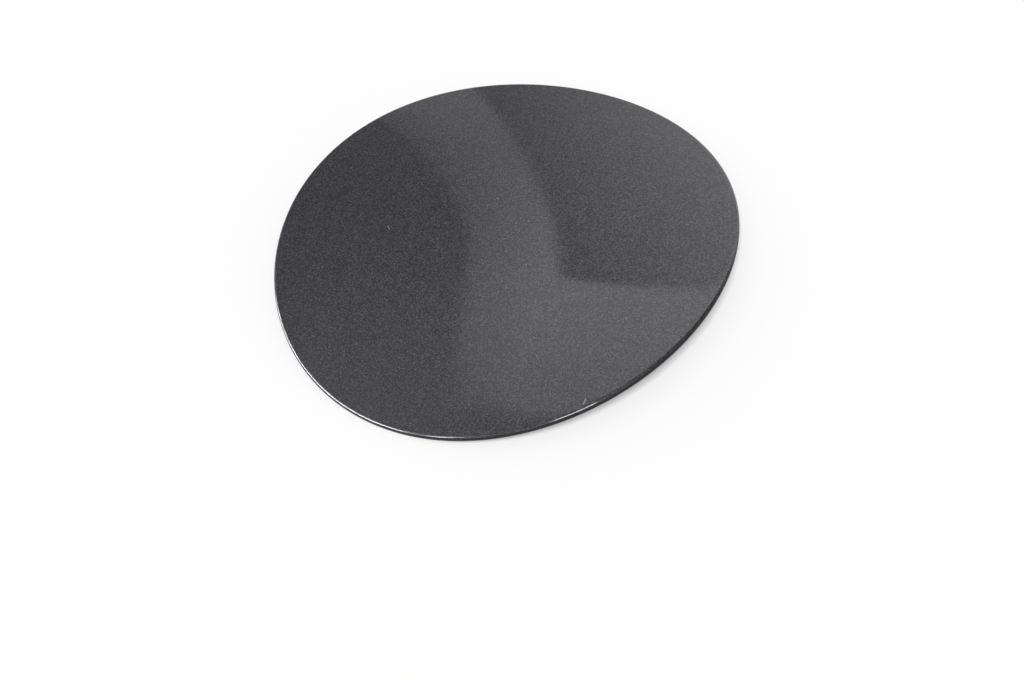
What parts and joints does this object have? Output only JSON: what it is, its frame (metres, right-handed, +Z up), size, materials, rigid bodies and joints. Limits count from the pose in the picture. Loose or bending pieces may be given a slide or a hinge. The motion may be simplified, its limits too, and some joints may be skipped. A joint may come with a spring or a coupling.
{
  "type": "fuel filler flap",
  "caption": "Round painted fuel filler flap, bent one way to follow a car's side, with stiffening ribs, a hinge seat and a lock eye moulded on its hidden side.",
  "frame": {"origin": "under the middle of the face, at the height of the lowest points of the rim", "axes": "+Z up out of the painted face; the face bends across Y and is straight along X; the hinge seat is at -X and the lock eye at +X"},
  "size_m": [0.17, 0.17, 0.0114],
  "materials": {
    "painted_panel": "dark grey metallic paint under clear lacquer, lightly scratched"
  },
  "bodies": {
    "root": {"flap_panel": "painted_panel"}
  },
  "joints": []
}
